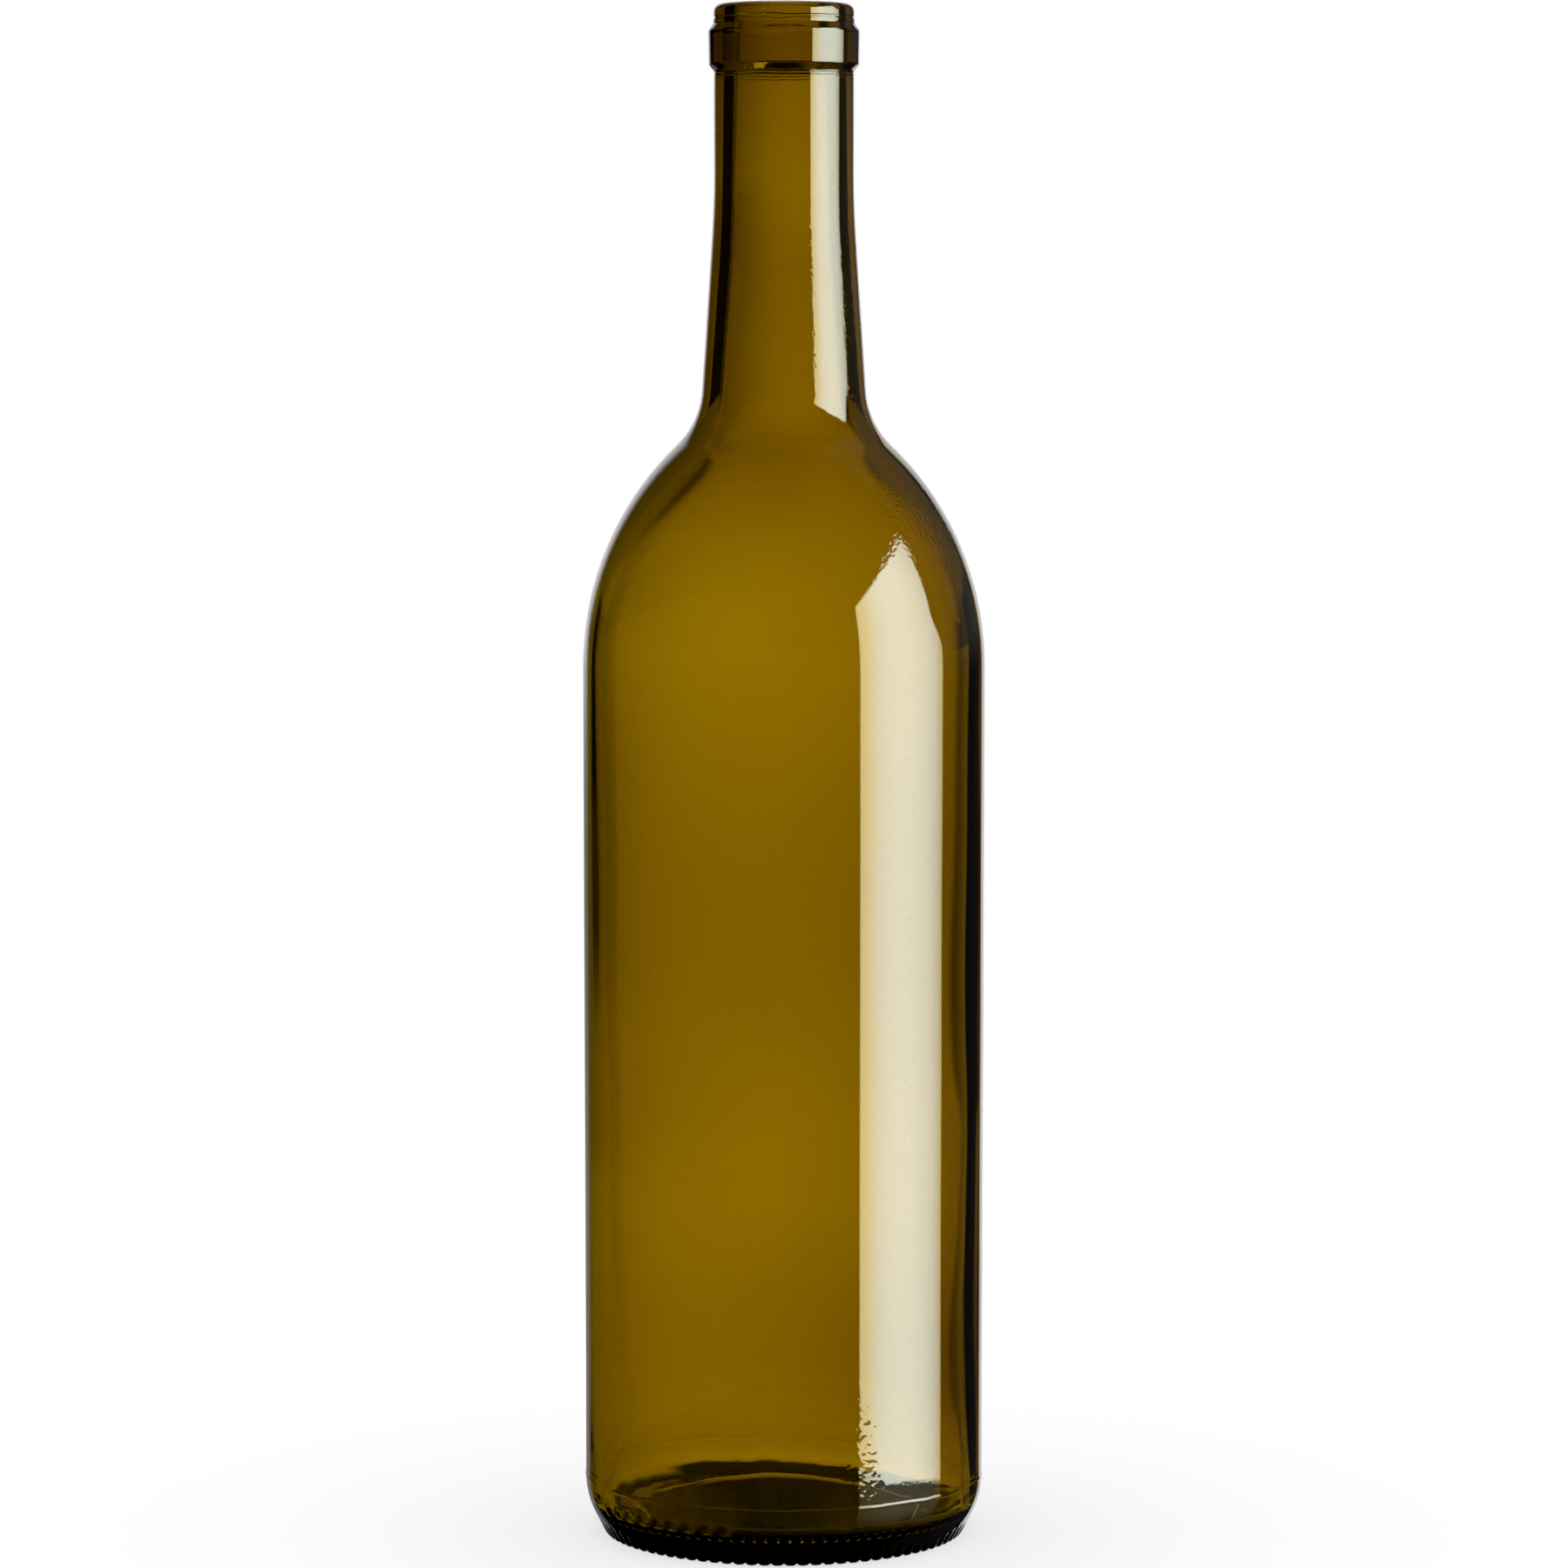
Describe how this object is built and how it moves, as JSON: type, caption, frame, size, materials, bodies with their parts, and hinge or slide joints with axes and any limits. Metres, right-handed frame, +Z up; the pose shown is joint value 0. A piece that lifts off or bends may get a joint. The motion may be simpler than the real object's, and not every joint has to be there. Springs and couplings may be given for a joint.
{
  "type": "bordeaux wine bottle",
  "caption": "Empty claret-shaped wine bottle in dark olive glass: high round shoulders, a banded finish for a cork, a shallow push-up and a knurled ring to stand on.",
  "frame": {"origin": "on the bottle's axis, in the plane that it stands on", "axes": "+Z up along the bottle's axis to the mouth; the bottle is turned, so +X and +Y are equal, and the picture looks along +Y"},
  "size_m": [0.0768, 0.0768, 0.292],
  "materials": {
    "glass": "polished dark olive container glass"
  },
  "bodies": {
    "root": {"base": "glass", "heel": "glass", "body": "glass", "shoulder": "glass", "neck": "glass", "collar": "glass", "lip": "glass"}
  },
  "joints": []
}
